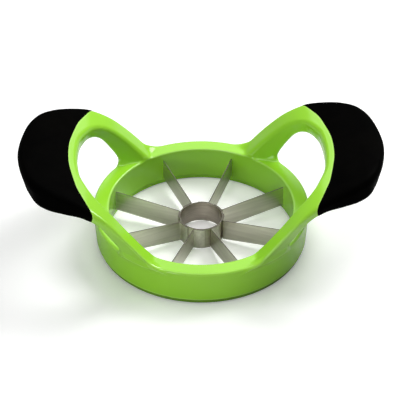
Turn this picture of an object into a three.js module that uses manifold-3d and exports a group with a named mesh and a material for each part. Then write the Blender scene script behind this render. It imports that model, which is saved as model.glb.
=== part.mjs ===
// Apple slicer and wedger with two raised loop handles.
// Lengths are millimetres and +Z is up. The origin is on the table under the middle of the ring.
// +X runs from the middle of the ring to the right handle.

import * as THREE from 'three';
import { mergeVertices } from 'three/addons/utils/BufferGeometryUtils.js';
import Module from 'manifold-3d';

const wasm = await Module();
wasm.setup();

// Ring: the outside and the bore, shared by the frame and the closing ring below it. Towards the rim the
// outside flares and the bore tapers in.
const baseOuterRadius = 59.0;
const outsideFlare = 1.3;
const baseRingWidth = 7.1;
const boreTaper = 0.5;
const ringHeight = 21.75;
const rimOuterRound = 1.5;
const rimBoreRound = 0.8;

// Hollow channel in the ring, open underneath until the closing ring fills it.
const ringWall = 2.2;
const ringRoof = 2.6;

// Closing ring.
const closingHeight = 2.2;
const closingInset = 0.35;
const closingChamfer = 0.5;
const closingLipRise = 4.0;

// Clearances: between pieces that meet, and how far a cutting shape runs past what it cuts.
const fitGap = 0.3;
const cutOverrun = 10.0;
const weldDistance = 0.001;

// Core tube.
const tubeOuterRadius = 12.4;
const tubeWall = 0.7;
const tubeHeight = 13.3;
const tubeLift = 0.3;
const tubeEdgeBevel = 0.9;

// Blades: flat strips that rise from the tube to the ring.
const bladeCount = 8;
const bladeThickness = 0.5;
const bladeHeight = 13.2;
const bladeLiftAtTube = 0.3;
const bladeLiftAtWall = 3.8;
const bladeEdgeBevel = 0.9;
const bladeBendRadius = 0.8;
const bladeTabLength = 6.4;
const bladeHookLength = 4.0;

// Handle loops: a thick bent plate with a hole, which rises from the rim and levels out into the grip.
const loopRootAngle = 67.3;
const loopRootInset = 8.48;
const loopRootLift = 14.0;
const gripStandOff = 40.7;
const gripHeight = 64.2;
const loopDepth = 14.0;
const armEdgeRound = 1.9;
const gripEdgeRound = 4.4;
const armRoundEndShare = 0.2;
const gripRoundStartShare = 0.7;
const holeEdgeRound = 2.5;
const coreEdgeRound = 0.4;
const gripWall = 2.4;
const coreStartShare = 0.155;
const armFlareShare = 1.0;

// Most of a side of a loop's section that the round at one of its ends may take.
const cornerShare = 0.46;

// Rows of a loop's top surface, at even steps of the way out. The columns are shares of the way up and of
// the loop's depth, and how far the outer wall and the hole's wall slant inwards for each unit down.
const profileShares = [
  [0.0, 1.036, 0.88, -0.3],
  [0.222, 1.037, 0.98, -0.27],
  [0.464, 0.831, 1.0, -0.12],
  [0.686, 0.647, 0.77, -0.14],
  [0.834, 0.664, 0.4, -0.3],
  [0.914, 0.8, 0.14, -0.4],
  [0.966, 0.94, 0.05, -0.4],
  [0.99, 0.997, 0.08, -0.4],
  [0.974, 1.046, 0.15, -0.4],
];

// Outlines of half a loop and of half its hole, seen from above. Both columns of each are shares: of the
// way out, and of the root's distance to the side.
const outerShares = [
  [0.0, 1.14],
  [0.131, 1.154],
  [0.276, 1.12],
  [0.412, 1.055],
  [0.536, 0.992],
  [0.655, 0.917],
  [0.77, 0.826],
  [0.874, 0.692],
  [0.958, 0.437],
  [1.0, 0.0],
];
const holeShares = [
  [0.0, 0.86],
  [0.115, 0.876],
  [0.215, 0.862],
  [0.312, 0.816],
  [0.406, 0.74],
  [0.475, 0.633],
  [0.523, 0.503],
  [0.563, 0.356],
  [0.581, 0.182],
  [0.587, 0.0],
];

// Where the soft grip ends on the loop, seen from above, from the middle of the grip to past the arm:
// shares of the same way out and of the same distance to the side.
const gripBorderShares = [
  [0.647, 0.0],
  [0.643, 0.167],
  [0.629, 0.314],
  [0.61, 0.46],
  [0.586, 0.617],
  [0.552, 0.753],
  [0.518, 0.879],
  [0.488, 0.983],
  [0.468, 1.088],
  [0.462, 1.19],
];

// How finely round shapes are divided.
const ringSegments = 80;
const tubeSegments = 48;
const roundSegments = 3;
const loopRoundSegments = 4;
const bendSegments = 3;
const tabSegments = 4;
const loopRings = 55;
const acrossSegments = 4;
const lengthSegments = 200;
const borderSegments = 36;

// Materials.
const greenPlastic = new THREE.MeshStandardMaterial({ color: 0x86d236, roughness: 0.28, metalness: 0 });
const blackRubber = new THREE.MeshStandardMaterial({ color: 0x111111, roughness: 0.75, metalness: 0 });
const bladeSteel = new THREE.MeshStandardMaterial({ color: 0xa39c90, roughness: 0.38, metalness: 1 });

// Turns a closed geometry into a solid that can be cut and joined.
function toSolid(geometry) {
  const bare = geometry.clone();
  bare.deleteAttribute('normal');
  bare.deleteAttribute('uv');
  const merged = mergeVertices(bare, weldDistance);
  const vertProperties = new Float32Array(merged.attributes.position.array);
  const triVerts = new Uint32Array(merged.index.array);
  return new wasm.Manifold(new wasm.Mesh({ numProp: 3, vertProperties, triVerts }));
}

// Turns a solid back into a geometry.
function toGeometry(solid) {
  const mesh = solid.getMesh();
  const geometry = new THREE.BufferGeometry();
  geometry.setAttribute('position', new THREE.BufferAttribute(mesh.vertProperties, 3));
  geometry.setIndex(new THREE.BufferAttribute(mesh.triVerts, 1));
  geometry.computeVertexNormals();
  return geometry;
}

// Closed profile of [radius, height] points, in order from the foot of the outside round to the bore,
// turned about the Z axis.
function turned(profile, segments) {
  const points = profile.map(([radius, height]) => new THREE.Vector2(radius, height));
  points.push(points[0].clone());
  const geometry = new THREE.LatheGeometry(points, segments);
  geometry.rotateX(Math.PI / 2);
  return geometry;
}

// Closed skin over a row of rings with equal numbers of points, with a flat end at each side.
function lofted(rings) {
  const sides = rings[0].length;
  const positions = rings.flatMap((ring) => ring.flatMap((point) => point.toArray()));
  const index = [];
  for (let row = 0; row < rings.length - 1; row += 1) {
    for (let side = 0; side < sides; side += 1) {
      const next = (side + 1) % sides;
      const here = row * sides + side;
      const beside = row * sides + next;
      index.push(here, here + sides, beside);
      index.push(beside, here + sides, beside + sides);
    }
  }
  const last = (rings.length - 1) * sides;
  for (let side = 1; side < sides - 1; side += 1) {
    index.push(0, side, side + 1);
    index.push(last, last + side + 1, last + side);
  }
  const geometry = new THREE.BufferGeometry();
  geometry.setAttribute('position', new THREE.Float32BufferAttribute(positions, 3));
  geometry.setIndex(index);
  geometry.computeVertexNormals();
  return geometry;
}

// Points of an arc in the plane, both ends included. Angles are radians.
function arcPoints(centreX, centreY, radius, fromAngle, toAngle, segments) {
  const points = [];
  for (let step = 0; step <= segments; step += 1) {
    const angle = fromAngle + ((toAngle - fromAngle) * step) / segments;
    points.push([centreX + radius * Math.cos(angle), centreY + radius * Math.sin(angle)]);
  }
  return points;
}

// Radius of the ring's outside and of its bore at a height.
const rimOuterRadius = baseOuterRadius + outsideFlare;
const baseBoreRadius = baseOuterRadius - baseRingWidth;
const rimBoreRadius = baseBoreRadius - boreTaper;

function outerRadiusAt(height) {
  return baseOuterRadius + (outsideFlare * height) / ringHeight;
}

function boreRadiusAt(height) {
  return baseBoreRadius - (boreTaper * height) / ringHeight;
}

// Frame: ring, hollow from below, with two loops and a slot for each blade.
const frameFoot = closingHeight + fitGap;
const channelRoof = ringHeight - ringRoof;
const outerRoundFoot = ringHeight - rimOuterRound;
const boreRoundFoot = ringHeight - rimBoreRound;
const hookRadius = boreRadiusAt(frameFoot) + ringWall + fitGap + bladeThickness / 2;
const hookBack = hookRadius + bladeThickness / 2;
const wallRise = bladeLiftAtWall - bladeLiftAtTube;
const wallRun = boreRadiusAt(bladeLiftAtWall) - tubeOuterRadius;
const bladeLiftAtHook = bladeLiftAtTube + (wallRise * (hookRadius - tubeOuterRadius)) / wallRun;

function ringBody() {
  const outerRound = arcPoints(
    rimOuterRadius - rimOuterRound, outerRoundFoot, rimOuterRound, 0, Math.PI / 2, roundSegments);
  const boreRound = arcPoints(
    rimBoreRadius + rimBoreRound, boreRoundFoot, rimBoreRound, Math.PI / 2, Math.PI, roundSegments);
  return toSolid(turned([
    [outerRadiusAt(frameFoot), frameFoot],
    ...outerRound,
    ...boreRound,
    [boreRadiusAt(frameFoot), frameFoot],
  ], ringSegments));
}

function ringChannel() {
  return toSolid(turned([
    [outerRadiusAt(0) - ringWall, 0],
    [outerRadiusAt(channelRoof) - ringWall, channelRoof],
    [boreRadiusAt(channelRoof) + ringWall, channelRoof],
    [boreRadiusAt(0) + ringWall, 0],
  ], ringSegments));
}

function ringBore() {
  return toSolid(turned([
    [0, 0],
    [boreRadiusAt(0), 0],
    [boreRadiusAt(boreRoundFoot), boreRoundFoot],
    [boreRadiusAt(boreRoundFoot), ringHeight + cutOverrun],
    [0, ringHeight + cutOverrun],
  ], ringSegments));
}

function bladeSlot(angle) {
  const slotTop = bladeLiftAtHook + bladeHeight + fitGap;
  const slotStart = boreRadiusAt(0) - ringWall;
  const slot = new THREE.BoxGeometry(hookBack - slotStart, bladeThickness + fitGap + fitGap, slotTop);
  slot.translate((slotStart + hookBack) / 2, 0, slotTop / 2);
  slot.rotateZ(angle);
  return toSolid(slot);
}

// Plan place on a loop, from the share of the way out and of the root's distance to the side.
const rootRadius = rimOuterRadius - loopRootInset;
const rootAngle = THREE.MathUtils.degToRad(loopRootAngle);
const rootOut = rootRadius * Math.cos(rootAngle);
const rootSide = rootRadius * Math.sin(rootAngle);
const gripOut = rimOuterRadius + gripStandOff;

function loopOut(share) {
  return rootOut + (gripOut - rootOut) * share;
}

// The share of the way out of a place.
function shareOut(out) {
  return THREE.MathUtils.clamp((out - rootOut) / (gripOut - rootOut), 0, 1);
}

// Line of a loop's top surface seen from the side, and with it the loop's depth and the slants of its walls.
const profileSteps = profileShares.length - 1;
const topCurve = new THREE.CatmullRomCurve3(profileShares.map(([up], row) => (
  new THREE.Vector3(loopOut(row / profileSteps), 0, loopRootLift + (gripHeight - loopRootLift) * up)
)), false, 'catmullrom');
const wallCurve = new THREE.CatmullRomCurve3(profileShares.map(([, depthShare, slant, holeSlant]) => (
  new THREE.Vector3(loopDepth * depthShare, slant, holeSlant)
)), false, 'catmullrom');
const topLengths = topCurve.getLengths(lengthSegments);
const topLength = topLengths[lengthSegments];

// Distance along the top surface for a share of the way out.
function topDistance(share) {
  const place = share * lengthSegments;
  const before = Math.min(Math.floor(place), lengthSegments - 1);
  return THREE.MathUtils.lerp(topLengths[before], topLengths[before + 1], place - before);
}

// Share of the top surface's length at a distance along it.
function lengthShare(distance) {
  return THREE.MathUtils.clamp(distance / topLength, 0, 1);
}

// Curve through the rows of one half of a loop and then through their mirror images.
function mirroredCurve(shares) {
  const half = shares.map(([out, side]) => new THREE.Vector2(loopOut(out), rootSide * side));
  const mirrored = half.slice(0, -1).reverse().map((point) => new THREE.Vector2(point.x, -point.y));
  return new THREE.SplineCurve([...half, ...mirrored]);
}

const outerOutline = mirroredCurve(outerShares);
const holeOutline = mirroredCurve(holeShares);

// Where an outline is at a share of its run, with the top surface laid flat: x is then the distance along
// the surface. Also the way across the outline, to the left of its run, and the share of the way out.
function flatRail(outline, share) {
  const spot = outline.getPoint(share);
  const run = outline.getTangent(share);
  const out = shareOut(spot.x);
  const stretch = 1 / topCurve.getTangent(out).x;
  return {
    place: new THREE.Vector3(topDistance(out), spot.y, 0),
    across: new THREE.Vector3(-run.y, run.x * stretch, 0).normalize(),
    out,
  };
}

// Corner of a section on a wall that slants inwards and is set in, at a depth below the top surface.
function wallCorner(rail, inwards, slant, inset, depth) {
  const back = slant * depth + inset * Math.hypot(1, slant);
  const corner = rail.place.clone().addScaledVector(rail.across, inwards * back);
  corner.z = depth;
  return corner;
}

// Points round a corner, from the side towards the corner before it to the side towards the one after it.
function roundedCorner(before, corner, after, round) {
  const toBefore = before.clone().sub(corner);
  const toAfter = after.clone().sub(corner);
  toBefore.setLength(Math.min(round, toBefore.length() * cornerShare));
  toAfter.setLength(Math.min(round, toAfter.length() * cornerShare));
  const points = [];
  for (let step = 0; step <= loopRoundSegments; step += 1) {
    const turn = (Math.PI * step) / loopRoundSegments / 2;
    const point = corner.clone();
    point.addScaledVector(toBefore, 1 - Math.sin(turn));
    point.addScaledVector(toAfter, 1 - Math.cos(turn));
    points.push(point);
  }
  return points;
}

// Points between the ends of two rounded corners, as deep below the top surface as depthAt says.
function pointsBetween(from, to, depthAt) {
  const start = from[from.length - 1];
  const points = [];
  for (let step = 1; step < acrossSegments; step += 1) {
    const point = start.clone().lerp(to[0], step / acrossSegments);
    point.z = depthAt(point.x);
    points.push(point);
  }
  return points;
}

// Section of a loop at a share of its run, thinned all over by an inset. Each point is the distance along
// the top surface, the place to the side, and the depth below the surface.
function loopSection(share, inset) {
  const outer = flatRail(outerOutline, share);
  const hole = flatRail(holeOutline, share);
  const outerWall = wallCurve.getPoint(outer.out);
  const holeWall = wallCurve.getPoint(hole.out);
  const change = THREE.MathUtils.smoothstep(outer.out, armRoundEndShare, gripRoundStartShare);
  const fullRound = THREE.MathUtils.lerp(armEdgeRound, gripEdgeRound, change);
  const outerRound = Math.max(fullRound - inset, coreEdgeRound);
  const holeRound = Math.max(holeEdgeRound - inset, coreEdgeRound);
  const holeTop = wallCorner(hole, 1, holeWall.z, inset, inset);
  const outerTop = wallCorner(outer, -1, outerWall.y, inset, inset);
  const outerFoot = wallCorner(outer, -1, outerWall.y, inset, outerWall.x - inset);
  const holeFoot = wallCorner(hole, 1, holeWall.z, inset, holeWall.x - inset);
  const holeTopRound = roundedCorner(holeFoot, holeTop, outerTop, holeRound);
  const outerTopRound = roundedCorner(holeTop, outerTop, outerFoot, outerRound);
  const outerFootRound = roundedCorner(outerTop, outerFoot, holeFoot, outerRound);
  const holeFootRound = roundedCorner(outerFoot, holeFoot, holeTop, holeRound);
  const footDepth = (distance) => {
    const out = shareOut(topCurve.getPointAt(lengthShare(distance)).x);
    return wallCurve.getPoint(out).x - inset;
  };
  return [
    ...holeTopRound,
    ...pointsBetween(holeTopRound, outerTopRound, () => inset),
    ...outerTopRound,
    ...outerFootRound,
    ...pointsBetween(outerFootRound, holeFootRound, footDepth),
    ...holeFootRound,
  ];
}

// Whole loop, from a share of its run to as far before its end, thinned all over by an inset; hand is 1
// for the right handle and -1 for the left.
function loopSolid(inset, startShare, hand) {
  const rings = [];
  for (let row = 0; row < loopRings; row += 1) {
    const share = THREE.MathUtils.lerp(startShare, 1 - startShare, row / (loopRings - 1));
    rings.push(loopSection(share, inset).map((point) => {
      const top = topCurve.getPointAt(lengthShare(point.x));
      const along = topCurve.getTangentAt(lengthShare(point.x));
      const out = top.x + along.z * point.z;
      return new THREE.Vector3(out * hand, point.y, top.z - along.x * point.z);
    }));
  }
  if (hand < 0) {
    rings.reverse();
  }
  return toSolid(lofted(rings));
}

// Upright block over the part of a loop outside the grip's border, moved outwards by a shift.
function gripCutter(shift, hand) {
  const half = gripBorderShares.map(([out, side]) => (
    new THREE.Vector2(loopOut(out) + shift, rootSide * side)));
  const mirrored = half.slice(1).reverse().map((point) => new THREE.Vector2(point.x, -point.y));
  const border = new THREE.SplineCurve([...mirrored, ...half]).getPoints(borderSegments);
  const farOut = gripOut + loopDepth;
  const outline = [...border];
  outline.push(new THREE.Vector2(farOut, border[borderSegments].y));
  outline.push(new THREE.Vector2(farOut, border[0].y));
  const shape = new THREE.Shape(outline.map((point) => new THREE.Vector2(point.x * hand, point.y)));
  const blockHeight = gripHeight + loopDepth - ringHeight;
  const block = new THREE.ExtrudeGeometry(shape, { depth: blockHeight, bevelEnabled: false });
  block.translate(0, 0, ringHeight);
  return toSolid(block);
}

// The loop as the frame carries it: full size on the arms and inside the border, and a thinner core
// under the grip.
function frameLoop(hand) {
  const arms = loopSolid(0, 0, hand).subtract(gripCutter(0, hand)).intersect(loopEnvelope());
  return arms.add(loopSolid(gripWall, coreStartShare, hand));
}

// Space that the arms may take: inside the ring's wall up to the rim, and flaring outwards above it, so
// that the arms' flanks run into the wall.
function loopEnvelope() {
  const top = gripHeight + loopDepth;
  return toSolid(turned([
    [0, 0],
    [outerRadiusAt(0), 0],
    [outerRadiusAt(outerRoundFoot), outerRoundFoot],
    [outerRadiusAt(outerRoundFoot) + (top - outerRoundFoot) * armFlareShare, top],
    [0, top],
  ], ringSegments));
}

function frameGeometry() {
  let body = ringBody();
  for (const hand of [1, -1]) {
    body = body.add(frameLoop(hand));
  }
  body = body.subtract(ringBore());
  body = body.subtract(ringChannel());
  for (let number = 0; number < bladeCount; number += 1) {
    body = body.subtract(bladeSlot(bladeAngle(number)));
  }
  return toGeometry(body);
}

// Soft grip: the outer part of the loop over its core.
function gripGeometry(hand) {
  const shell = loopSolid(0, 0, hand).intersect(gripCutter(fitGap, hand));
  return toGeometry(shell.subtract(loopSolid(gripWall - fitGap, coreStartShare, hand)));
}

// Closing ring, with a lip that fills the channel behind the blades' hooks and a key under each blade.
function closingRingGeometry() {
  const outside = outerRadiusAt(0) - closingInset;
  const inside = boreRadiusAt(0) + closingInset;
  const lipOuter = outerRadiusAt(closingHeight) - ringWall - fitGap;
  const lipInner = hookBack + fitGap;
  const lipTop = closingHeight + closingLipRise;
  const ring = turned([
    [outside - closingChamfer, 0],
    [outside, closingChamfer],
    [outside, closingHeight],
    [lipOuter, closingHeight],
    [lipOuter, lipTop],
    [lipInner, lipTop],
    [lipInner, closingHeight],
    [inside, closingHeight],
    [inside, closingChamfer],
    [inside + closingChamfer, 0],
  ], ringSegments);
  let body = toSolid(ring);
  const keyStart = boreRadiusAt(closingHeight) + closingInset;
  const keyTop = bladeLiftAtWall - fitGap;
  for (let number = 0; number < bladeCount; number += 1) {
    const key = new THREE.BoxGeometry(hookBack - keyStart, bladeThickness, keyTop - closingHeight / 2);
    key.translate((keyStart + hookBack) / 2, 0, (keyTop + closingHeight / 2) / 2);
    key.rotateZ(bladeAngle(number));
    body = body.add(toSolid(key));
  }
  return toGeometry(body);
}

// Core tube, ground to an edge at its foot.
function tubeGeometry() {
  const tubeBore = tubeOuterRadius - tubeWall;
  return turned([
    [tubeOuterRadius, tubeLift],
    [tubeOuterRadius, tubeLift + tubeHeight],
    [tubeBore, tubeLift + tubeHeight],
    [tubeBore, tubeLift + tubeEdgeBevel],
  ], tubeSegments);
}

// Azimuth of a blade: the blades lie evenly, half a step off the X axis.
function bladeAngle(number) {
  return (2 * Math.PI * (number + 1 / 2)) / bladeCount;
}

// Blade along +X: a tab on the tube, a straight run and a hook behind the ring's wall, all in one strip
// that is ground to an edge underneath.
function bladeGeometry() {
  const tabRadius = tubeOuterRadius + fitGap + bladeThickness / 2;
  const tabStart = bladeTabLength / tabRadius;
  const tabEnd = Math.asin(bladeBendRadius / tabRadius);
  const tabFoot = tabRadius * Math.cos(tabEnd);
  const bend = bladeBendRadius;
  const quarter = Math.PI / 2;
  const path = [
    ...arcPoints(0, 0, tabRadius, tabStart, tabEnd, tabSegments).slice(0, -1),
    ...arcPoints(tabFoot + bend, bend, bend, 2 * quarter, 3 * quarter, bendSegments),
    ...arcPoints(hookRadius - bend, bend, bend, 3 * quarter, 4 * quarter, bendSegments),
    [hookRadius, bladeHookLength],
  ];
  const rings = path.map(([x, y], place) => {
    const before = path[Math.max(place - 1, 0)];
    const after = path[Math.min(place + 1, path.length - 1)];
    const way = new THREE.Vector2(after[0] - before[0], after[1] - before[1]).normalize();
    const halfX = (-way.y * bladeThickness) / 2;
    const halfY = (way.x * bladeThickness) / 2;
    const radius = Math.hypot(x, y);
    const foot = bladeLiftAtTube + (wallRise * (radius - tubeOuterRadius)) / wallRun;
    return [
      new THREE.Vector3(x, y, foot),
      new THREE.Vector3(x - halfX, y - halfY, foot + bladeEdgeBevel),
      new THREE.Vector3(x - halfX, y - halfY, foot + bladeHeight),
      new THREE.Vector3(x + halfX, y + halfY, foot + bladeHeight),
      new THREE.Vector3(x + halfX, y + halfY, foot + bladeEdgeBevel),
    ];
  });
  return lofted(rings);
}

// Assembly.
const group = new THREE.Group();

function addPiece(name, geometry, material) {
  const mesh = new THREE.Mesh(geometry, material);
  mesh.name = name;
  group.add(mesh);
  return mesh;
}

addPiece('frame', frameGeometry(), greenPlastic);
addPiece('base_ring', closingRingGeometry(), greenPlastic);
addPiece('right_grip', gripGeometry(1), blackRubber);
addPiece('left_grip', gripGeometry(-1), blackRubber);
addPiece('core_tube', tubeGeometry(), bladeSteel);
for (let number = 0; number < bladeCount; number += 1) {
  const blade = addPiece(`blade_${number + 1}`, bladeGeometry(), bladeSteel);
  blade.rotation.z = bladeAngle(number);
}

export default group;
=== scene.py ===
"""Apple slicer and wedger: fine meshes, finishes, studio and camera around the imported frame.

Sizes are millimetres, in the frame's own axes: +Z up, +X towards the right handle, and the table at zero.
Meshes are turned into metres as they are made.
"""

import math

import bpy
import numpy as np
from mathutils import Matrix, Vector


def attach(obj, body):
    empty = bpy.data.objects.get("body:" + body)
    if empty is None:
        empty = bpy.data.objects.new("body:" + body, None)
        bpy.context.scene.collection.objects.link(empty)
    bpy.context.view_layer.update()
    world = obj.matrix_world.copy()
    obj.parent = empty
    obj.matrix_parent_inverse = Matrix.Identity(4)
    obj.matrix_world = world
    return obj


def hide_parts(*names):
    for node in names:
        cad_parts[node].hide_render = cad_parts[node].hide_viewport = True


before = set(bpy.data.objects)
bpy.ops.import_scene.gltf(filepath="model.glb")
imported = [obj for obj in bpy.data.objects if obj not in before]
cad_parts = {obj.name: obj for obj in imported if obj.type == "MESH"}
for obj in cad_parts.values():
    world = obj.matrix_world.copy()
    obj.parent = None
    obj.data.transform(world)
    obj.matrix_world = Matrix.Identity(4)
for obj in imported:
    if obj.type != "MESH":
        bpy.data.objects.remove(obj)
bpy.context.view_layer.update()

MM = 0.001

# Ring
base_outer_radius = 59.0
outside_flare = 1.3
base_ring_width = 7.1
bore_taper = 0.5
ring_height = 21.75
rim_outer_round = 1.5
rim_bore_round = 0.9
ring_wall = 2.2
ring_roof = 2.6

# Closing ring
closing_height = 2.2
closing_inset = 0.7
closing_lip_rise = 4.0
closing_round = 0.5
joint_gap = 0.3

# Core tube
tube_outer_radius = 12.4
tube_wall = 0.7
tube_foot = 0.3
tube_height = 13.3
tube_foot_bevel = 0.9
tube_lip_round = 0.16

# Blades
blade_count = 8
blade_thickness = 0.5
blade_height = 13.2
blade_lift_at_tube = 0.3
blade_lift_at_wall = 3.8
blade_edge_bevel = 0.9
blade_top_round = 0.1
blade_bend_radius = 0.8
blade_tab_length = 6.4
blade_hook_length = 4.0
blade_tab_gap = 0.05

# Faces that tilt up or down more than this are the steel's edges, and on the closing ring those that tilt
# outwards are its outer face. The steel's edges have their own finishes, and the outer face gets painted
# shade.
upper_edge_tilt = 0.6
lower_edge_tilt = 0.15
outward_tilt = 0.3

# Loops
loop_root_angle = 67.3
loop_root_inset = 8.48
loop_root_lift = 14.0
grip_stand_off = 40.55
grip_height = 64.2
loop_depth = 14.0
loop_edge_rounds = (1.9, 4.4)
loop_round_spots = (0.25, 0.75)
hole_edge_round = 2.5
grip_wall = 2.4
core_start_share = 0.42

# Rows of a loop's top surface, at even steps of the way out. The columns are shares of the way up and of
# the loop's depth, and how far the outer wall and the hole's wall slant inwards for each unit down.
profile_shares = [
    (0.0, 1.036, 0.88, -0.3),
    (0.222, 1.037, 0.98, -0.27),
    (0.464, 0.831, 1.0, -0.12),
    (0.686, 0.647, 0.77, -0.14),
    (0.834, 0.664, 0.4, -0.3),
    (0.914, 0.8, 0.14, -0.4),
    (0.966, 0.94, 0.05, -0.4),
    (0.99, 0.997, 0.08, -0.4),
    (0.974, 1.046, 0.15, -0.4),
]

# Outlines of half a loop and of half its hole, seen from above. Both columns of each are shares: of the
# way out, and of the root's distance to the side.
outer_shares = [
    (0.0, 1.14),
    (0.131, 1.154),
    (0.276, 1.12),
    (0.412, 1.055),
    (0.536, 0.992),
    (0.655, 0.917),
    (0.77, 0.826),
    (0.874, 0.692),
    (0.958, 0.437),
    (1.0, 0.0),
]
hole_shares = [
    (0.0, 0.86),
    (0.115, 0.876),
    (0.215, 0.862),
    (0.312, 0.816),
    (0.406, 0.74),
    (0.475, 0.633),
    (0.523, 0.503),
    (0.563, 0.356),
    (0.581, 0.182),
    (0.587, 0.0),
]

# Where the soft grip ends on the loop, seen from above, in shares of the same way out and to the side.
border_shares = [
    (0.647, 0.0),
    (0.643, 0.167),
    (0.629, 0.314),
    (0.61, 0.46),
    (0.586, 0.617),
    (0.552, 0.753),
    (0.518, 0.879),
    (0.488, 0.983),
    (0.468, 1.088),
    (0.462, 1.19),
]

# How the soft grip sits on the loop
plastic_inset = 0.2
grip_proud = -0.02
grip_edge_round = 0.8
grip_lap = 0.3
plastic_dive = 1.2
plastic_dive_start = 0.8
grip_seat_gap = 0.04

# Fillets where the arms meet the rim: small inside the loop and wide behind the arm
fillet_on_rim = 1.2
fillet_outside = 5.0
fillet_behind = 5.0
fillet_change_angles = (60.0, 70.0)
fillet_change_inset = 5.0
flank_round = 1.2
flank_fillet = 2.5
foot_round = 0.3

# Bend of a surface from which an edge gets a painted highlight: the sum of its two curvatures, for each
# millimetre
edge_bend_low = 0.4
edge_bend_high = 1.3
edge_bend_reach = 0.5
# Attribute with how much painted highlight each point gets
EDGE_NAME = "painted_highlight_edge"

# Painted highlight lines beside the grip's border and along the foot of the wall. The wall above the foot
# stays plain.
painted_highlight_line_inset = 0.35
painted_highlight_line_width = 0.7
foot_highlight_height = 0.5
foot_highlight_width = 0.9
plain_wall_depth = 0.3

# How finely the meshes are divided
net_step = 0.62
grip_step = 0.45
station_count = 200
table_step = 0.5
turn_segments = 256
closing_round_steps = 4
closing_joint_steps = 3
tube_lip_steps = 4
blade_tab_steps = 16
blade_bend_steps = 8
blade_run_steps = 24
sharp_angle = 35.0

# Room round the loop in the tables of its side view and of its outlines laid flat
loop_reach_inwards = 12.0
side_view_inwards = 14.0
side_view_below = 6.0
side_view_beyond = 8.0
flat_before = 12.0
flat_across = 3.0
flat_beyond = 10.0
flat_aside = 16.0
slant_overrun = 3.0
table_end_share = 0.001

# Room round the pieces in the grids on which their surfaces are found
grid_start_steps = 2.5
grid_out_room = 3.0
grid_side_room = 6.0
grid_top_room = 4.0
grip_grid_depths = 2.2

# Most distances that are worked out at once, and a distance beyond every piece
CHUNK = 4000000
FAR = 50.0
TINY = 1e-6

# Turns a place seen from above into its mirror image across the loop's middle
ACROSS = np.array([1, -1])

rim_outer_radius = base_outer_radius + outside_flare
base_bore_radius = base_outer_radius - base_ring_width
frame_foot = closing_height + joint_gap
grip_out = rim_outer_radius + grip_stand_off
root_radius = rim_outer_radius - loop_root_inset
root_out = root_radius * math.cos(math.radians(loop_root_angle))
root_side = root_radius * math.sin(math.radians(loop_root_angle))
core_out = root_out + (grip_out - root_out) * core_start_share


def outer_radius(height):
    return base_outer_radius + outside_flare * height / ring_height


def bore_radius(height):
    return base_bore_radius - bore_taper * height / ring_height


hook_radius = bore_radius(frame_foot) + ring_wall + joint_gap + blade_thickness / 2


# Distance fields: below zero inside a shape, and about the distance to its surface in millimetres

def both(a, b, rounding):
    """What two shapes share, with the edge between them rounded."""
    outside = np.hypot(np.maximum(a + rounding, 0), np.maximum(b + rounding, 0))
    return np.minimum(np.maximum(a, b), -rounding) + outside


def either(a, b, fillet):
    """Two shapes together, with a fillet in the corner between them."""
    corner = np.hypot(np.maximum(fillet - a, 0), np.maximum(fillet - b, 0))
    return np.maximum(np.minimum(a, b), fillet) - corner


def smooth_share(value, low, high):
    share = np.clip((value - low) / (high - low), 0, 1)
    return share * share * (3 - 2 * share)


def spline(points, places):
    """Uniform Catmull-Rom curve through rows of points, with one more row before and after them."""
    points = np.asarray(points, float)
    row = np.clip(np.floor(places).astype(int), 0, len(points) - 4)
    t = (places - row)[:, None]
    p0, p1, p2, p3 = (points[row + k] for k in range(4))
    square = 2 * p0 - 5 * p1 + 4 * p2 - p3
    cube = -p0 + 3 * p1 - 3 * p2 + p3
    return 0.5 * (2 * p1 + (p2 - p0) * t + square * t ** 2 + cube * t ** 3)


def unit(rows):
    return rows / np.linalg.norm(rows, axis=-1, keepdims=True)


def mirrored_rows(half):
    """Rows of one half of a closed curve with ghost rows: one before the first, one past the middle."""
    half = np.asarray(half, float)
    return np.vstack([2 * half[0] - half[1], half, half[-2] * ACROSS])


def loop_place(shares):
    """Plan places from shares of the way out and of the root's distance to the side."""
    shares = np.asarray(shares, float)
    return np.stack([root_out + (grip_out - root_out) * shares[:, 0], root_side * shares[:, 1]], axis=1)


def profile_table():
    """The loop's rows from root to grip: way out, height, depth, and the slant of both walls."""
    shares = np.array(profile_shares)
    outs = np.linspace(root_out, grip_out, len(shares))
    heights = loop_root_lift + (grip_height - loop_root_lift) * shares[:, 0]
    rows = np.column_stack([outs, heights, loop_depth * shares[:, 1], shares[:, 2], shares[:, 3]])
    table = np.vstack([2 * rows[0] - rows[1], rows, 2 * rows[-1] - rows[-2]])
    return spline(table, np.linspace(0, len(rows) - 1, station_count))


def distances(spots, line):
    """For each spot, the nearest place on an open line: how far along it, how far from it, and which side."""
    start, way = line[:-1], np.diff(line, axis=0)
    length = np.linalg.norm(way, axis=1)
    way = way / length[:, None]
    begins = np.concatenate([[0], np.cumsum(length)[:-1]])
    found = []
    for part in np.array_split(spots, max(1, len(spots) * len(line) // CHUNK)):
        offset = part[:, None] - start
        run = np.clip((offset * way).sum(2), 0, length)
        gap = offset - run[..., None] * way
        nearest = (gap ** 2).sum(2).argmin(1)
        rows = np.arange(len(part))
        gap, run = gap[rows, nearest], run[rows, nearest]
        side = way[nearest, 0] * gap[:, 1] - way[nearest, 1] * gap[:, 0]
        found.append(np.stack([begins[nearest] + run, np.hypot(*gap.T), np.sign(side)], axis=1))
    return np.concatenate(found).T


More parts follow.
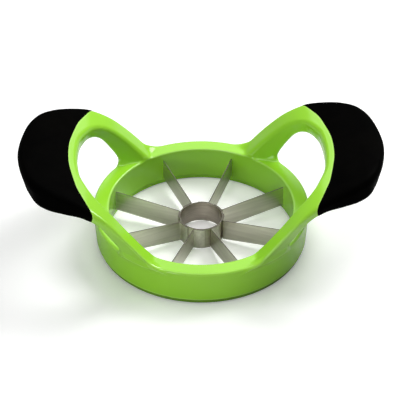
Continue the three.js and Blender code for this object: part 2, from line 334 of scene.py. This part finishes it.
class Table:
    """Values on an even grid, with a smooth surface through them."""

    def __init__(self, low, high, step, work_out):
        self.low, self.step = np.array(low, float), step
        self.counts = np.ceil((np.array(high) - self.low) / step).astype(int) + 1
        lines = [start + np.arange(count) * step for start, count in zip(self.low, self.counts)]
        u, v = np.meshgrid(*lines, indexing="ij")
        self.values = work_out(np.stack([u.ravel(), v.ravel()], axis=1)).reshape(-1, *self.counts)

    def at(self, u, v):
        picks, weights = [], []
        for axis, value in enumerate((u, v)):
            place = (value - self.low[axis]) / self.step
            place = np.clip(place, 1, self.counts[axis] - (2 + table_end_share))
            cell = np.floor(place).astype(int)
            t = place - cell
            picks.append(cell)
            weights.append((
                0.5 * (-t + 2 * t ** 2 - t ** 3),
                0.5 * (2 - 5 * t ** 2 + 3 * t ** 3),
                0.5 * (t + 4 * t ** 2 - 3 * t ** 3),
                0.5 * (t ** 3 - t ** 2),
            ))
        total = 0
        for i in range(4):
            for j in range(4):
                corner = self.values[:, picks[0] + i - 1, picks[1] + j - 1]
                total = total + corner * (weights[0][i] * weights[1][j])
        return total


PROFILE = profile_table()
PROFILE_WAY = unit(np.gradient(PROFILE[:, :2], axis=0))
PROFILE_ALONG = np.concatenate([[0], np.cumsum(np.linalg.norm(np.diff(PROFILE[:, :2], axis=0), axis=1))])


def side_view(spots):
    """Distance along the loop's top surface and height above it, for places seen from the side."""
    line = np.vstack([PROFILE[0, :2] - PROFILE_WAY[0] * FAR, PROFILE[:, :2],
                      PROFILE[-1, :2] + PROFILE_WAY[-1] * FAR])
    along, away, side = distances(spots, line)
    return np.stack([along - FAR, away * side])


def laid_flat(shares):
    """One of the loop's outlines, both halves, with the top surface laid flat."""
    half = loop_place(shares)
    curve = spline(mirrored_rows(half), np.linspace(0, len(half) - 1, station_count))
    curve[:, 0] = np.interp(curve[:, 0], PROFILE[:, 0], PROFILE_ALONG)
    curve[-1, 1] = 0
    start = np.array([[-FAR, curve[0, 1]]])
    return np.vstack([start, curve, (curve[:-1] * ACROSS)[::-1], start * ACROSS])


def outlines(spots):
    """How far a place on the flat top surface is outside the outer outline, and how far inside the hole."""
    outer, hole = laid_flat(outer_shares), laid_flat(hole_shares)
    values = []
    for line, sign in ((outer, 1), (hole, -1)):
        _, away, side = distances(spots, line)
        values.append(sign * away * side)
    return np.stack(values)


SIDE_TABLE = Table(
    (root_out - side_view_inwards, -side_view_below),
    (grip_out + side_view_beyond, grip_height + side_view_beyond),
    table_step, side_view,
)
FLAT_TABLE = Table(
    (-flat_before, -flat_across),
    (PROFILE_ALONG[-1] + flat_beyond, root_side + flat_aside),
    table_step, outlines,
)


def loop_field(points):
    """About the distance to a loop's surface. Points are on the side where x and y are positive."""
    along, above = SIDE_TABLE.at(points[:, 0], points[:, 2])
    outside, in_hole = FLAT_TABLE.at(along, points[:, 1])
    depth, slant, hole_slant = (np.interp(along, PROFILE_ALONG, PROFILE[:, k]) for k in (2, 3, 4))
    below = np.clip(-above, -slant_overrun, depth + slant_overrun)
    outside = (outside + slant * below) / np.sqrt(1 + slant ** 2)
    in_hole = (in_hole + hole_slant * below) / np.sqrt(1 + hole_slant ** 2)
    share = smooth_share(along / PROFILE_ALONG[-1], *loop_round_spots)
    rounding = loop_edge_rounds[0] + (loop_edge_rounds[1] - loop_edge_rounds[0]) * share
    underneath = -above - depth
    outer = both(both(outside, above, rounding), underneath, rounding)
    inner = both(both(in_hole, above, hole_edge_round), underneath, hole_edge_round)
    return np.maximum(np.maximum(outer, inner), -along)


def border_table():
    """Place of the grip's border outwards, for a place to the side, as two rows."""
    rows = loop_place(border_shares)
    before = rows[1] * ACROSS
    after = 2 * rows[-1] - rows[-2]
    curve = spline(np.vstack([before, rows, after]), np.linspace(0, len(rows) - 1, station_count))
    return curve[:, 1], curve[:, 0]


BORDER_SIDE, BORDER_OUT = border_table()


def border_out(side):
    return np.interp(np.abs(side), BORDER_SIDE, BORDER_OUT)


def border_field(points):
    """Above zero on the grip's side of its border, and below zero on the frame's side."""
    nudge = 0.2
    slope = (border_out(points[:, 1] + nudge) - border_out(points[:, 1] - nudge)) / (2 * nudge)
    return (points[:, 0] - border_out(points[:, 1])) / np.sqrt(1 + slope ** 2)


def quarter(points):
    """The same places folded onto the side where x and y are positive."""
    return np.stack([np.abs(points[:, 0]), np.abs(points[:, 1]) + TINY, points[:, 2]], axis=1)


def near_loop(points):
    """The loop's field where it can matter, and a plain far value elsewhere."""
    field = np.full(len(points), FAR)
    reach = points[:, 0] > root_out - loop_reach_inwards
    field[reach] = loop_field(points[reach])
    return field


def envelope_field(radius, height):
    """Space that the loops may take: inside the ring's wall, and flaring outwards above it."""
    flare_foot = ring_height - rim_outer_round
    outside = radius - outer_radius(height)
    flare = (radius - outer_radius(flare_foot) - (height - flare_foot)) / math.sqrt(2)
    return either(outside, flare, flank_fillet)


def plastic_field(points, loop):
    """Loop's plastic: flush beside the grip's border, and sloping down under the grip."""
    past_border = np.clip(border_field(points) - plastic_dive_start, 0, loop_depth)
    return loop + plastic_inset + plastic_dive * past_border


def frame_field(points):
    """Ring with its channel, two loops, and the thinner cores under the grips."""
    points = quarter(points)
    radius = np.hypot(points[:, 0], points[:, 1])
    height = points[:, 2]
    slab = both(radius - outer_radius(height), height - ring_height, rim_outer_round)
    loop = near_loop(points)
    core = np.maximum(loop + grip_wall, core_out - points[:, 0])
    envelope = envelope_field(radius, height)
    arms = both(plastic_field(points, loop), envelope, flank_round)
    azimuth = np.degrees(np.arctan2(points[:, 1], points[:, 0]))
    fillet = fillet_on_rim + (fillet_outside - fillet_on_rim) * smooth_share(
        radius, rim_outer_radius - fillet_change_inset, rim_outer_radius)
    fillet = fillet + (fillet_behind - fillet) * smooth_share(azimuth, *fillet_change_angles)
    body = either(slab, arms, fillet)
    body = np.minimum(np.maximum(body, envelope), core)
    body = both(body, bore_radius(height) - radius, rim_bore_round)
    body = both(body, frame_foot - height, foot_round)
    channel = np.maximum(radius - outer_radius(height) + ring_wall, bore_radius(height) + ring_wall - radius)
    channel = np.maximum(channel, height - (ring_height - ring_roof))
    return np.maximum(body, -channel)


def grip_field(points):
    """Soft grip over the loop's core. Its rounded edge laps onto the plastic at the border."""
    points = quarter(points)
    loop = near_loop(points)
    shell = both(loop - grip_proud, -(border_field(points) + grip_lap), grip_edge_round)
    return np.maximum(shell, grip_seat_gap - (loop + grip_wall))


def gradient(field, points, nudge=0.02):
    columns = []
    for axis in range(3):
        shift = np.zeros(3)
        shift[axis] = nudge
        columns.append((field(points + shift) - field(points - shift)) / (2 * nudge))
    return np.stack(columns, axis=1)


def bend(field, points):
    """How sharply a surface bends outwards at its points, as the sum of its two curvatures."""
    total = -6 * field(points)
    for axis in range(3):
        shift = np.zeros(3)
        shift[axis] = edge_bend_reach
        total = total + field(points + shift) + field(points - shift)
    return total / edge_bend_reach ** 2


def grid_values(field, place, axes, block=4):
    """The field on a grid, worked out in full only near its surface."""
    counts = [len(axis) for axis in axes]
    coarse = [np.unique(np.append(np.arange(0, n, block), n - 1)) for n in counts]

    def at(indices):
        grid = np.meshgrid(*[axis[i] for axis, i in zip(axes, indices)], indexing="ij")
        shape = grid[0].shape
        return field(place(*[g.ravel() for g in grid])).reshape(shape)

    rough = at(coarse)
    cells = [np.minimum(np.searchsorted(c, np.arange(n), side="right") - 1, len(c) - 2)
             for c, n in zip(coarse, counts)]
    least = np.full([len(c) - 1 for c in coarse], np.inf)
    low = np.full(least.shape, np.inf)
    for i in (0, 1):
        for j in (0, 1):
            for k in (0, 1):
                corner = rough[i:i + least.shape[0], j:j + least.shape[1], k:k + least.shape[2]]
                least = np.minimum(least, np.abs(corner))
                low = np.minimum(low, corner)
    pick = np.ix_(*cells)
    first = place(*[axis[[-1 - block]] for axis in axes])
    last = place(*[axis[[-1]] for axis in axes])
    reach = float(np.linalg.norm(last - first))
    close = least[pick] < reach
    values = np.where(low[pick] < 0, -reach, reach)
    where = np.nonzero(close)
    values[where] = field(place(*[axis[i] for axis, i in zip(axes, where)]))
    return values


def surface_net(values, axes, wrap):
    """Points in grid coordinates and quads at the sign changes. The middle axis may close on itself."""
    if wrap:
        values = np.concatenate([values[:, -1:], values, values[:, :1]], axis=1)
    inside = values < 0
    shape = [n - 1 for n in values.shape]
    count = np.zeros(shape, np.int8)
    for i in (0, 1):
        for j in (0, 1):
            for k in (0, 1):
                count += inside[i:i + shape[0], j:j + shape[1], k:k + shape[2]]
    mixed = (count > 0) & (count < 8)
    if wrap:
        mixed[:, 0] = False
    cell = np.argwhere(mixed)
    total = np.zeros((len(cell), 3))
    hits = np.zeros(len(cell))
    for axis in range(3):
        others = [a for a in range(3) if a != axis]
        for first in (0, 1):
            for second in (0, 1):
                corner = cell.copy()
                corner[:, others[0]] += first
                corner[:, others[1]] += second
                end = corner.copy()
                end[:, axis] += 1
                v0 = values[tuple(corner.T)]
                v1 = values[tuple(end.T)]
                cut = (v0 < 0) != (v1 < 0)
                share = np.where(cut, v0 / np.where(cut, v0 - v1, 1), 0)
                point = corner - cell + 0.0
                point[:, axis] = share
                total += point * cut[:, None]
                hits += cut
    position = cell + total / hits[:, None]
    if wrap:
        position[:, 1] -= 1
    number = np.full(shape, -1)
    number[mixed] = np.arange(len(cell))
    if wrap:
        number[:, 0] = number[:, -1]
    quads = []
    for axis in range(3):
        others = [a for a in range(3) if a != axis]
        take = [slice(None)] * 3
        take[axis] = slice(0, -1)
        v0 = inside[tuple(take)]
        take[axis] = slice(1, None)
        v1 = inside[tuple(take)]
        edge = np.argwhere(v0 != v1)
        keep = np.all(edge[:, others] > 0, axis=1)
        for other in others:
            keep &= edge[:, other] < values.shape[other] - 1
        if wrap and axis == 1:
            keep &= edge[:, 1] > 0
        edge = edge[keep]
        ring = []
        for first, second in ((-1, -1), (0, -1), (0, 0), (-1, 0)):
            corner = edge.copy()
            corner[:, others[0]] += first
            corner[:, others[1]] += second
            ring.append(number[tuple(corner.T)])
        quad = np.stack(ring, axis=1)
        forward = v0[tuple(edge.T)]
        if axis == 1:
            forward = ~forward
        quad[~forward] = quad[~forward][:, ::-1]
        quads.append(quad)
    return position, np.concatenate(quads)


def settled(field, points, steps=2, most=0.8):
    """Moves points onto the surface of a field."""
    for _ in range(steps):
        slope = gradient(field, points)
        length = np.maximum((slope ** 2).sum(1), TINY)
        move = -(field(points) / length)[:, None] * slope
        size = np.linalg.norm(move, axis=1, keepdims=True)
        points = points + move * np.minimum(1, most / np.maximum(size, TINY))
    return points


def field_mesh(field, place, axes, wrap):
    """Points, quads, normals and outward bend of a field's surface."""
    values = grid_values(field, place, axes)
    position, quads = surface_net(values, axes, wrap)
    spots = []
    for column, axis in enumerate(axes):
        step = axis[1] - axis[0]
        spots.append(axis[0] + position[:, column] * step)
    points = settled(field, place(*spots))
    return points, quads, unit(gradient(field, points)), bend(field, points)


# Making meshes

def make_piece(name, points, faces, material, slot, nodes, normals=None, bends=None):
    """A piece of the object from points in millimetres, which stands for CAD nodes."""
    mesh = bpy.data.meshes.new(name)
    mesh.from_pydata((np.asarray(points) * MM).tolist(), [], [list(map(int, face)) for face in faces])
    mesh.validate()
    mesh.shade_smooth()
    if normals is None:
        mesh.set_sharp_from_angle(angle=math.radians(sharp_angle))
    else:
        mesh.normals_split_custom_set_from_vertices(np.asarray(normals).tolist())
    if bends is not None:
        values = mesh.attributes.new(EDGE_NAME, "FLOAT", "POINT").data
        values.foreach_set("value", np.asarray(bends, np.float32))
    mesh.materials.append(material)
    piece = bpy.data.objects.new(name, mesh)
    bpy.context.scene.collection.objects.link(piece)
    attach(piece, "root")
    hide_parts(*nodes)
    return piece


def cylindrical(radius, turn, height):
    return np.stack([radius * np.cos(turn), radius * np.sin(turn), height], axis=1)


def frame_mesh():
    """The frame on a grid of radii, turns and heights, with how much painted highlight each point gets."""
    turns = int(2 * math.pi * rim_outer_radius / net_step / 4) * 4
    start = grid_start_steps * net_step
    radii = np.arange(bore_radius(ring_height) - start, grip_out + grid_out_room, net_step)
    heights = np.arange(frame_foot - start, grip_height + grid_top_room, net_step)
    angles = np.arange(turns) * 2 * math.pi / turns
    points, faces, normals, bends = field_mesh(frame_field, cylindrical, [radii, angles, heights], True)
    radius, height = np.hypot(points[:, 0], points[:, 1]), points[:, 2]
    on_wall = np.abs(radius - outer_radius(height)) < plain_wall_depth
    on_wall &= height < ring_height - rim_outer_round
    bends = np.where(on_wall, 0, bends)
    # Pale lines of painted highlight beside the grip's border and along the foot of the wall
    lines = (
        (border_field(quarter(points)) + painted_highlight_line_inset, painted_highlight_line_width),
        (np.where(on_wall, height - frame_foot - foot_highlight_height, FAR), foot_highlight_width),
    )
    for beside, width in lines:
        bends = np.maximum(bends, edge_bend_high * (1 - np.abs(beside) / width))
    return points, faces, normals, bends


def beside_border(out, side, height):
    return np.stack([out + border_out(side), side, height], axis=1)


def grip_mesh():
    """The right grip on a grid of which one axis starts at the grip's border."""
    out = grip_out - BORDER_OUT.min() + grid_out_room
    side = root_side + grid_side_room
    outs = np.arange(-grid_start_steps * grip_step, out, grip_step)
    sides = np.arange(-side, side, grip_step)
    heights = np.arange(grip_height - loop_depth * grip_grid_depths, grip_height + grid_top_room, grip_step)
    return field_mesh(grip_field, beside_border, [outs, sides, heights], False)


def mirrored(points, faces, normals, bends):
    flip = np.array([-1, 1, 1])
    return points * flip, faces[:, ::-1], normals * flip, bends


def turned(profile, segments):
    """Closed ring with a profile of (radius, height) points, anticlockwise with the radius to the right."""
    points = []
    for step in range(segments):
        turn = 2 * math.pi * step / segments
        points += [(r * math.cos(turn), r * math.sin(turn), z) for r, z in profile]
    size = len(profile)
    faces = []
    for step in range(segments):
        here, beyond = step * size, (step + 1) % segments * size
        for k in range(size):
            following = (k + 1) % size
            faces.append((here + k, beyond + k, beyond + following, here + following))
    return np.array(points), faces


def lofted(rings):
    """Closed skin over a row of rings, with a flat end at each side."""
    size = len(rings[0])
    points = np.concatenate(rings)
    faces = []
    for row in range(len(rings) - 1):
        for k in range(size):
            here, beside = row * size + k, row * size + (k + 1) % size
            faces.append((here, beside, beside + size, here + size))
    last = (len(rings) - 1) * size
    faces.append(tuple(range(size - 1, -1, -1)))
    faces.append(tuple(range(last, last + size)))
    return points, faces


def arc(centre_x, centre_y, radius, start, end, steps):
    angles = np.linspace(math.radians(start), math.radians(end), steps + 1)
    return [(centre_x + radius * math.cos(a), centre_y + radius * math.sin(a)) for a in angles]


def closing_ring_mesh():
    outside = outer_radius(0) - closing_inset
    inside = bore_radius(0) + closing_inset
    lip_outer = outer_radius(closing_height) - ring_wall - joint_gap
    lip_inner = hook_radius + blade_thickness / 2 + joint_gap
    lip_top = closing_height + closing_lip_rise
    small = closing_round / 2
    profile = [
        *arc(inside + closing_round, closing_round, closing_round, 180, 270, closing_round_steps),
        *arc(outside - closing_round, closing_round, closing_round, 270, 360, closing_round_steps),
        *arc(outside - small, closing_height - small, small, 0, 90, closing_joint_steps),
        (lip_outer, closing_height),
        (lip_outer, lip_top),
        (lip_inner, lip_top),
        (lip_inner, closing_height),
        *arc(inside + small, closing_height - small, small, 90, 180, closing_joint_steps),
    ]
    return turned(profile, turn_segments)


def tube_mesh():
    inner = tube_outer_radius - tube_wall
    top = tube_foot + tube_height
    lip = tube_lip_round
    profile = [
        (tube_outer_radius, tube_foot),
        *arc(tube_outer_radius - lip, top - lip, lip, 0, 90, tube_lip_steps),
        *arc(inner + lip, top - lip, lip, 90, 180, tube_lip_steps),
        (inner, tube_foot + tube_foot_bevel),
    ]
    return turned(profile, turn_segments)


def blade_mesh():
    """Blade along +X: a tab on the tube, a straight run and a hook behind the ring's wall."""
    tab_radius = tube_outer_radius + blade_tab_gap + blade_thickness / 2
    bend = blade_bend_radius
    tab_end = math.degrees(math.asin(bend / tab_radius))
    tab_start = math.degrees(blade_tab_length / tab_radius)
    foot = tab_radius * math.cos(math.radians(tab_end))
    straight = hook_radius - foot - 2 * bend
    path = [
        *arc(0, 0, tab_radius, tab_start, tab_end, blade_tab_steps)[:-1],
        *arc(foot + bend, bend, bend, 180, 270, blade_bend_steps),
        *[(foot + bend + straight * k / blade_run_steps, 0) for k in range(1, blade_run_steps)],
        *arc(hook_radius - bend, bend, bend, 270, 360, blade_bend_steps),
        (hook_radius, blade_hook_length),
    ]
    path = np.array(path)
    rise = blade_lift_at_wall - blade_lift_at_tube
    run = bore_radius(blade_lift_at_wall) - tube_outer_radius
    half = blade_thickness / 2
    rings = []
    for place, (x, y) in enumerate(path):
        way = unit(path[min(place + 1, len(path) - 1)] - path[max(place - 1, 0)])
        side = np.array([-way[1], way[0]])
        foot_height = blade_lift_at_tube + rise * (math.hypot(x, y) - tube_outer_radius) / run
        top = foot_height + blade_height
        section = [
            (0, foot_height),
            (half, foot_height + blade_edge_bevel),
            (half, top - blade_top_round),
            (half - blade_top_round, top),
            (blade_top_round - half, top),
            (-half, top - blade_top_round),
            (-half, foot_height + blade_edge_bevel),
        ]
        rings.append(np.array([(x + side[0] * a, y + side[1] * a, z) for a, z in section]))
    return lofted(rings)


# Materials

# Colours, as linear red, green and blue, where a noise is low and where it is high
green_colours = ((0.325, 0.725, 0.029), (0.345, 0.760, 0.034))
# Pale tint on the plastic's outward edges: a painted highlight
green_painted_highlight = (0.55, 0.86, 0.24)
rubber_colours = ((0.0003, 0.0003, 0.0003), (0.0010, 0.0009, 0.0007))
# Lighter tint on the rubber's outward edges: a painted highlight
rubber_painted_highlight = (0.004, 0.0036, 0.0028)
strip_colours = ((0.59, 0.565, 0.48), (0.71, 0.685, 0.59))
tube_colours = ((0.42, 0.385, 0.32), (0.52, 0.48, 0.40))
cut_colours = ((0.10, 0.092, 0.075), (0.19, 0.175, 0.145))
ground_colours = ((0.62, 0.60, 0.55), (0.74, 0.72, 0.66))

# The closing ring's outer face is darker than the wall above it: painted shade under the wall's foot
foot_painted_shade = 0.4

# How far an edge's colour goes towards its painted highlight
green_painted_highlight_share = 0.4
rubber_painted_highlight_share = 0.5

# Roughness, where a noise is low and where it is high
green_roughness = (0.17, 0.21)
rubber_roughness = (0.50, 0.62)
steel_roughness = (0.30, 0.38)
cut_roughness = (0.5, 0.65)
ground_roughness = (0.22, 0.32)

# Noises, as scale and detail
green_tone = (24.0, 2.0)
green_scuff = (55.0, 1.0)
green_peel = (140.0, 1.0)
rubber_tone = (60.0, 4.0)
rubber_dust = (180.0, 3.0)
rubber_grain = (2200.0, 2.0)
steel_grain = (900.0, 3.0)
steel_cloud = (70.0, 2.0)
cut_tear = (1500.0, 3.0)
ground_marks = (3000.0, 2.0)

# Bumps, as strength and depth in metres
green_bump = (0.03, 0.0002)
rubber_bump = (0.25, 0.0001)
steel_bump = (0.12, 0.00005)

# How the grain is drawn out: along the strip, and round and across the tube
strip_stretch = (0.04, 1.0, 1.0)
tube_stretch = (0.12, 0.12, 1.0)

green_ior = 1.5
rubber_specular = 0.006
cut_metallic = 0.85

# Sockets of a mix node that mixes colours
MIX_SHARE, MIX_FIRST, MIX_SECOND, MIX_RESULT = 0, 6, 7, 2

# Where a noise counts as low and as high
NOISE_ENDS = (0.3, 0.7)
CALM_NOISE_ENDS = (0.35, 0.65)


def new_material(name):
    material = bpy.data.materials.new(name)
    material.use_nodes = True
    tree = material.node_tree
    return material, tree.nodes, tree.links, tree.nodes["Principled BSDF"]


def object_place(nodes):
    return nodes.new("ShaderNodeTexCoord").outputs["Object"]


def noise(nodes, links, place, scale, detail):
    node = nodes.new("ShaderNodeTexNoise")
    node.inputs["Scale"].default_value = scale
    node.inputs["Detail"].default_value = detail
    links.new(place, node.inputs["Vector"])
    return node.outputs["Fac"]


def ramp(nodes, links, source, colours, places=NOISE_ENDS):
    """Goes from one colour to the other as a noise rises."""
    node = nodes.new("ShaderNodeValToRGB")
    for element, place, colour in zip(node.color_ramp.elements, places, colours):
        element.position = place
        element.color = (*colour, 1)
    links.new(source, node.inputs["Fac"])
    return node.outputs["Color"]


def roughen(nodes, links, shader, source, values):
    colours = [(value, value, value) for value in values]
    links.new(ramp(nodes, links, source, colours), shader.inputs["Roughness"])


def bump(nodes, links, shader, height, strength, depth):
    node = nodes.new("ShaderNodeBump")
    node.inputs["Strength"].default_value = strength
    node.inputs["Distance"].default_value = depth
    links.new(height, node.inputs["Height"])
    links.new(node.outputs["Normal"], shader.inputs["Normal"])


def painted_highlight(nodes, links, colour, painted_highlight_colour, most):
    """Tints outward edges paler, as a painted highlight."""
    attribute = nodes.new("ShaderNodeAttribute")
    attribute.attribute_name = EDGE_NAME
    span = nodes.new("ShaderNodeMapRange")
    for name, value in (("From Min", edge_bend_low), ("From Max", edge_bend_high), ("To Max", most)):
        span.inputs[name].default_value = value
    links.new(attribute.outputs["Fac"], span.inputs["Value"])
    mix = nodes.new("ShaderNodeMix")
    mix.data_type = "RGBA"
    links.new(span.outputs["Result"], mix.inputs[MIX_SHARE])
    links.new(colour, mix.inputs[MIX_FIRST])
    mix.inputs[MIX_SECOND].default_value = (*painted_highlight_colour, 1)
    return mix.outputs[MIX_RESULT]


def green_plastic(name, shade=1.0):
    """Glossy moulded plastic with a painted highlight on its edges. A shade below one darkens its colour as
    painted shade.
    """
    material, nodes, links, shader = new_material(name)
    place = object_place(nodes)
    colours = [tuple(shade * part for part in colour) for colour in green_colours]
    colour = ramp(nodes, links, noise(nodes, links, place, *green_tone), colours, CALM_NOISE_ENDS)
    colour = painted_highlight(nodes, links, colour, green_painted_highlight, green_painted_highlight_share)
    links.new(colour, shader.inputs["Base Color"])
    roughen(nodes, links, shader, noise(nodes, links, place, *green_scuff), green_roughness)
    bump(nodes, links, shader, noise(nodes, links, place, *green_peel), *green_bump)
    shader.inputs["IOR"].default_value = green_ior
    return material


def black_rubber():
    """Matt soft-touch rubber with a fine grain and a painted highlight on its edges."""
    material, nodes, links, shader = new_material("black_rubber")
    place = object_place(nodes)
    colour = ramp(nodes, links, noise(nodes, links, place, *rubber_tone), rubber_colours)
    colour = painted_highlight(nodes, links, colour, rubber_painted_highlight, rubber_painted_highlight_share)
    links.new(colour, shader.inputs["Base Color"])
    roughen(nodes, links, shader, noise(nodes, links, place, *rubber_dust), rubber_roughness)
    bump(nodes, links, shader, noise(nodes, links, place, *rubber_grain), *rubber_bump)
    shader.inputs["Specular IOR Level"].default_value = rubber_specular
    return material


def brushed_steel(name, stretch, colours):
    """Steel with its grain along the axes on which stretch is small."""
    material, nodes, links, shader = new_material(name)
    place = object_place(nodes)
    mapping = nodes.new("ShaderNodeMapping")
    mapping.inputs["Scale"].default_value = stretch
    links.new(place, mapping.inputs["Vector"])
    grain = noise(nodes, links, mapping.outputs["Vector"], *steel_grain)
    links.new(ramp(nodes, links, grain, colours), shader.inputs["Base Color"])
    roughen(nodes, links, shader, noise(nodes, links, place, *steel_cloud), steel_roughness)
    bump(nodes, links, shader, grain, *steel_bump)
    shader.inputs["Metallic"].default_value = 1.0
    return material


def edge_steel(name, marks, colours, roughness, metallic=1.0):
    """Steel's narrow edges: the upper edge, where the strip was sheared, dark and dull, and the lower edge
    bright where it was ground.
    """
    material, nodes, links, shader = new_material(name)
    marks = noise(nodes, links, object_place(nodes), *marks)
    links.new(ramp(nodes, links, marks, colours), shader.inputs["Base Color"])
    roughen(nodes, links, shader, marks, roughness)
    shader.inputs["Metallic"].default_value = metallic
    return material


# The object

plastic = green_plastic("green_plastic")
# A darker copy of the plastic for the closing ring's outer face: painted shade
painted_shade_plastic = green_plastic("green_painted_shade", foot_painted_shade)
rubber = black_rubber()
strip_steel = brushed_steel("strip_steel", strip_stretch, strip_colours)
tube_steel = brushed_steel("tube_steel", tube_stretch, tube_colours)
cut_edge = edge_steel("cut_steel", cut_tear, cut_colours, cut_roughness, cut_metallic)
ground_edge = edge_steel("ground_steel", ground_marks, ground_colours, ground_roughness)


def finish_edges(piece):
    """Gives a steel piece's upper edge and its sharpened lower edge their own finishes."""
    piece.data.materials.append(cut_edge)
    piece.data.materials.append(ground_edge)
    for polygon in piece.data.polygons:
        if polygon.normal.z > upper_edge_tilt:
            polygon.material_index = 1
        elif polygon.normal.z < -lower_edge_tilt:
            polygon.material_index = 2


def paint_foot_shade(piece):
    """Gives the closing ring's outer face a darker copy of the plastic: painted shade."""
    piece.data.materials.append(painted_shade_plastic)
    for polygon in piece.data.polygons:
        if polygon.normal.xy.dot(polygon.center.xy.normalized()) > outward_tilt:
            polygon.material_index = 1


points, faces, *shading = frame_mesh()
make_piece("frame_body", points, faces, plastic, "green_plastic", ["frame"], *shading)

points, faces = closing_ring_mesh()
closing = make_piece("closing_ring", points, faces, plastic, "green_plastic", ["base_ring"])
paint_foot_shade(closing)

right_grip = grip_mesh()
make_piece("soft_grip_right", *right_grip[:2], rubber, "black_rubber", ["right_grip"], *right_grip[2:])
left_grip = mirrored(*right_grip)
make_piece("soft_grip_left", *left_grip[:2], rubber, "black_rubber", ["left_grip"], *left_grip[2:])

points, faces = tube_mesh()
tube = make_piece("corer_tube", points, faces, tube_steel, "blade_steel", ["core_tube"])
finish_edges(tube)

points, faces = blade_mesh()
for number in range(blade_count):
    name = f"steel_blade_{number + 1}"
    blade = make_piece(name, points, faces, strip_steel, "blade_steel", [f"blade_{number + 1}"])
    blade.rotation_euler.z = 2 * math.pi * (number + 0.5) / blade_count
    finish_edges(blade)


# Camera: the fitted viewing angle, distance in metres, and length of lens in millimetres

view_turn = math.radians(-2.51)
view_rise = math.radians(38.39)
view_distance = 0.988
view_shift = -0.00065
view_target_height = 0.0248
lens_length = 159.5
sensor_size = 36.0


def add_camera():
    back = Vector((math.sin(view_turn) * math.cos(view_rise), -math.cos(view_turn) * math.cos(view_rise),
                   math.sin(view_rise)))
    right = Vector((0, 0, 1)).cross(back).normalized()
    data = bpy.data.cameras.new("camera")
    data.lens = lens_length
    data.sensor_width = sensor_size
    camera = bpy.data.objects.new("camera", data)
    camera.location = Vector((0, 0, view_target_height)) + back * view_distance + right * view_shift
    camera.rotation_mode = "QUATERNION"
    camera.rotation_quaternion = back.to_track_quat("Z", "Y")
    bpy.context.scene.collection.objects.link(camera)
    bpy.context.scene.camera = camera


# Studio, in metres and watts

# The floor's own shade and its lift towards white: first as the object sees it, then as the camera does
floor_shades = (0.72, 0.97)
floor_lifts = (0.0, 0.2)
floor_half_size = 4.0
floor_drop = 0.0002
floor_roughness = 0.3
floor_specular = 0.3

# The world's strength: first as matt surfaces see it, then as the camera and glossy surfaces do
world_strengths = (0.06, 0.3)

# Each lamp's name, place, width and depth, and power
lamps = [
    ("top_lamp", (0, 0, 1.1), (0.8, 0.8), 5.4),
    ("right_lamp", (0.6, 0.48, 0.83), (0.55, 0.55), 9.2),
    ("back_lamp", (0.05, 0.95, 0.78), (1.0, 0.6), 2.6),
    ("left_lamp", (-0.8, -0.9, 0.35), (0.8, 0.5), 5.2),
]
lamp_aim = (0, 0, 0.02)


def switched(nodes, links, seen, values, target):
    """Sets a socket to the first value, or to the second for rays that count as seen."""
    span = nodes.new("ShaderNodeMapRange")
    span.inputs["To Min"].default_value, span.inputs["To Max"].default_value = values
    links.new(seen, span.inputs["Value"])
    links.new(span.outputs["Result"], target)


def add_floor():
    half = floor_half_size
    corners = [(-half, -half, 0), (half, -half, 0), (half, half, 0), (-half, half, 0)]
    mesh = bpy.data.meshes.new("floor")
    mesh.from_pydata(corners, [], [(0, 1, 2, 3)])
    floor = bpy.data.objects.new("floor", mesh)
    floor.location.z = -floor_drop
    bpy.context.scene.collection.objects.link(floor)
    material, nodes, links, shader = new_material("table")
    shader.inputs["Roughness"].default_value = floor_roughness
    shader.inputs["Specular IOR Level"].default_value = floor_specular
    shader.inputs["Emission Color"].default_value = (1, 1, 1, 1)
    seen = nodes.new("ShaderNodeLightPath").outputs["Is Camera Ray"]
    switched(nodes, links, seen, floor_shades, shader.inputs["Base Color"])
    switched(nodes, links, seen, floor_lifts, shader.inputs["Emission Strength"])
    mesh.materials.append(material)


def add_lamp(name, place, size, power):
    data = bpy.data.lights.new(name, "AREA")
    data.shape = "RECTANGLE"
    data.size, data.size_y = size
    data.energy = power
    lamp = bpy.data.objects.new(name, data)
    lamp.location = place
    lamp.rotation_mode = "QUATERNION"
    lamp.rotation_quaternion = (Vector(place) - Vector(lamp_aim)).to_track_quat("Z", "Y")
    bpy.context.scene.collection.objects.link(lamp)


def add_world():
    world = bpy.data.worlds.new("studio")
    bpy.context.scene.world = world
    world.use_nodes = True
    nodes, links = world.node_tree.nodes, world.node_tree.links
    background = nodes["Background"]
    path = nodes.new("ShaderNodeLightPath")
    seen = nodes.new("ShaderNodeMath")
    seen.operation = "MAXIMUM"
    links.new(path.outputs["Is Camera Ray"], seen.inputs[0])
    links.new(path.outputs["Is Glossy Ray"], seen.inputs[1])
    switched(nodes, links, seen.outputs[0], world_strengths, background.inputs["Strength"])
    background.inputs["Color"].default_value = (1, 1, 1, 1)


add_camera()
add_floor()
add_world()
for lamp in lamps:
    add_lamp(*lamp)

bpy.context.scene.view_settings.view_transform = "Standard"
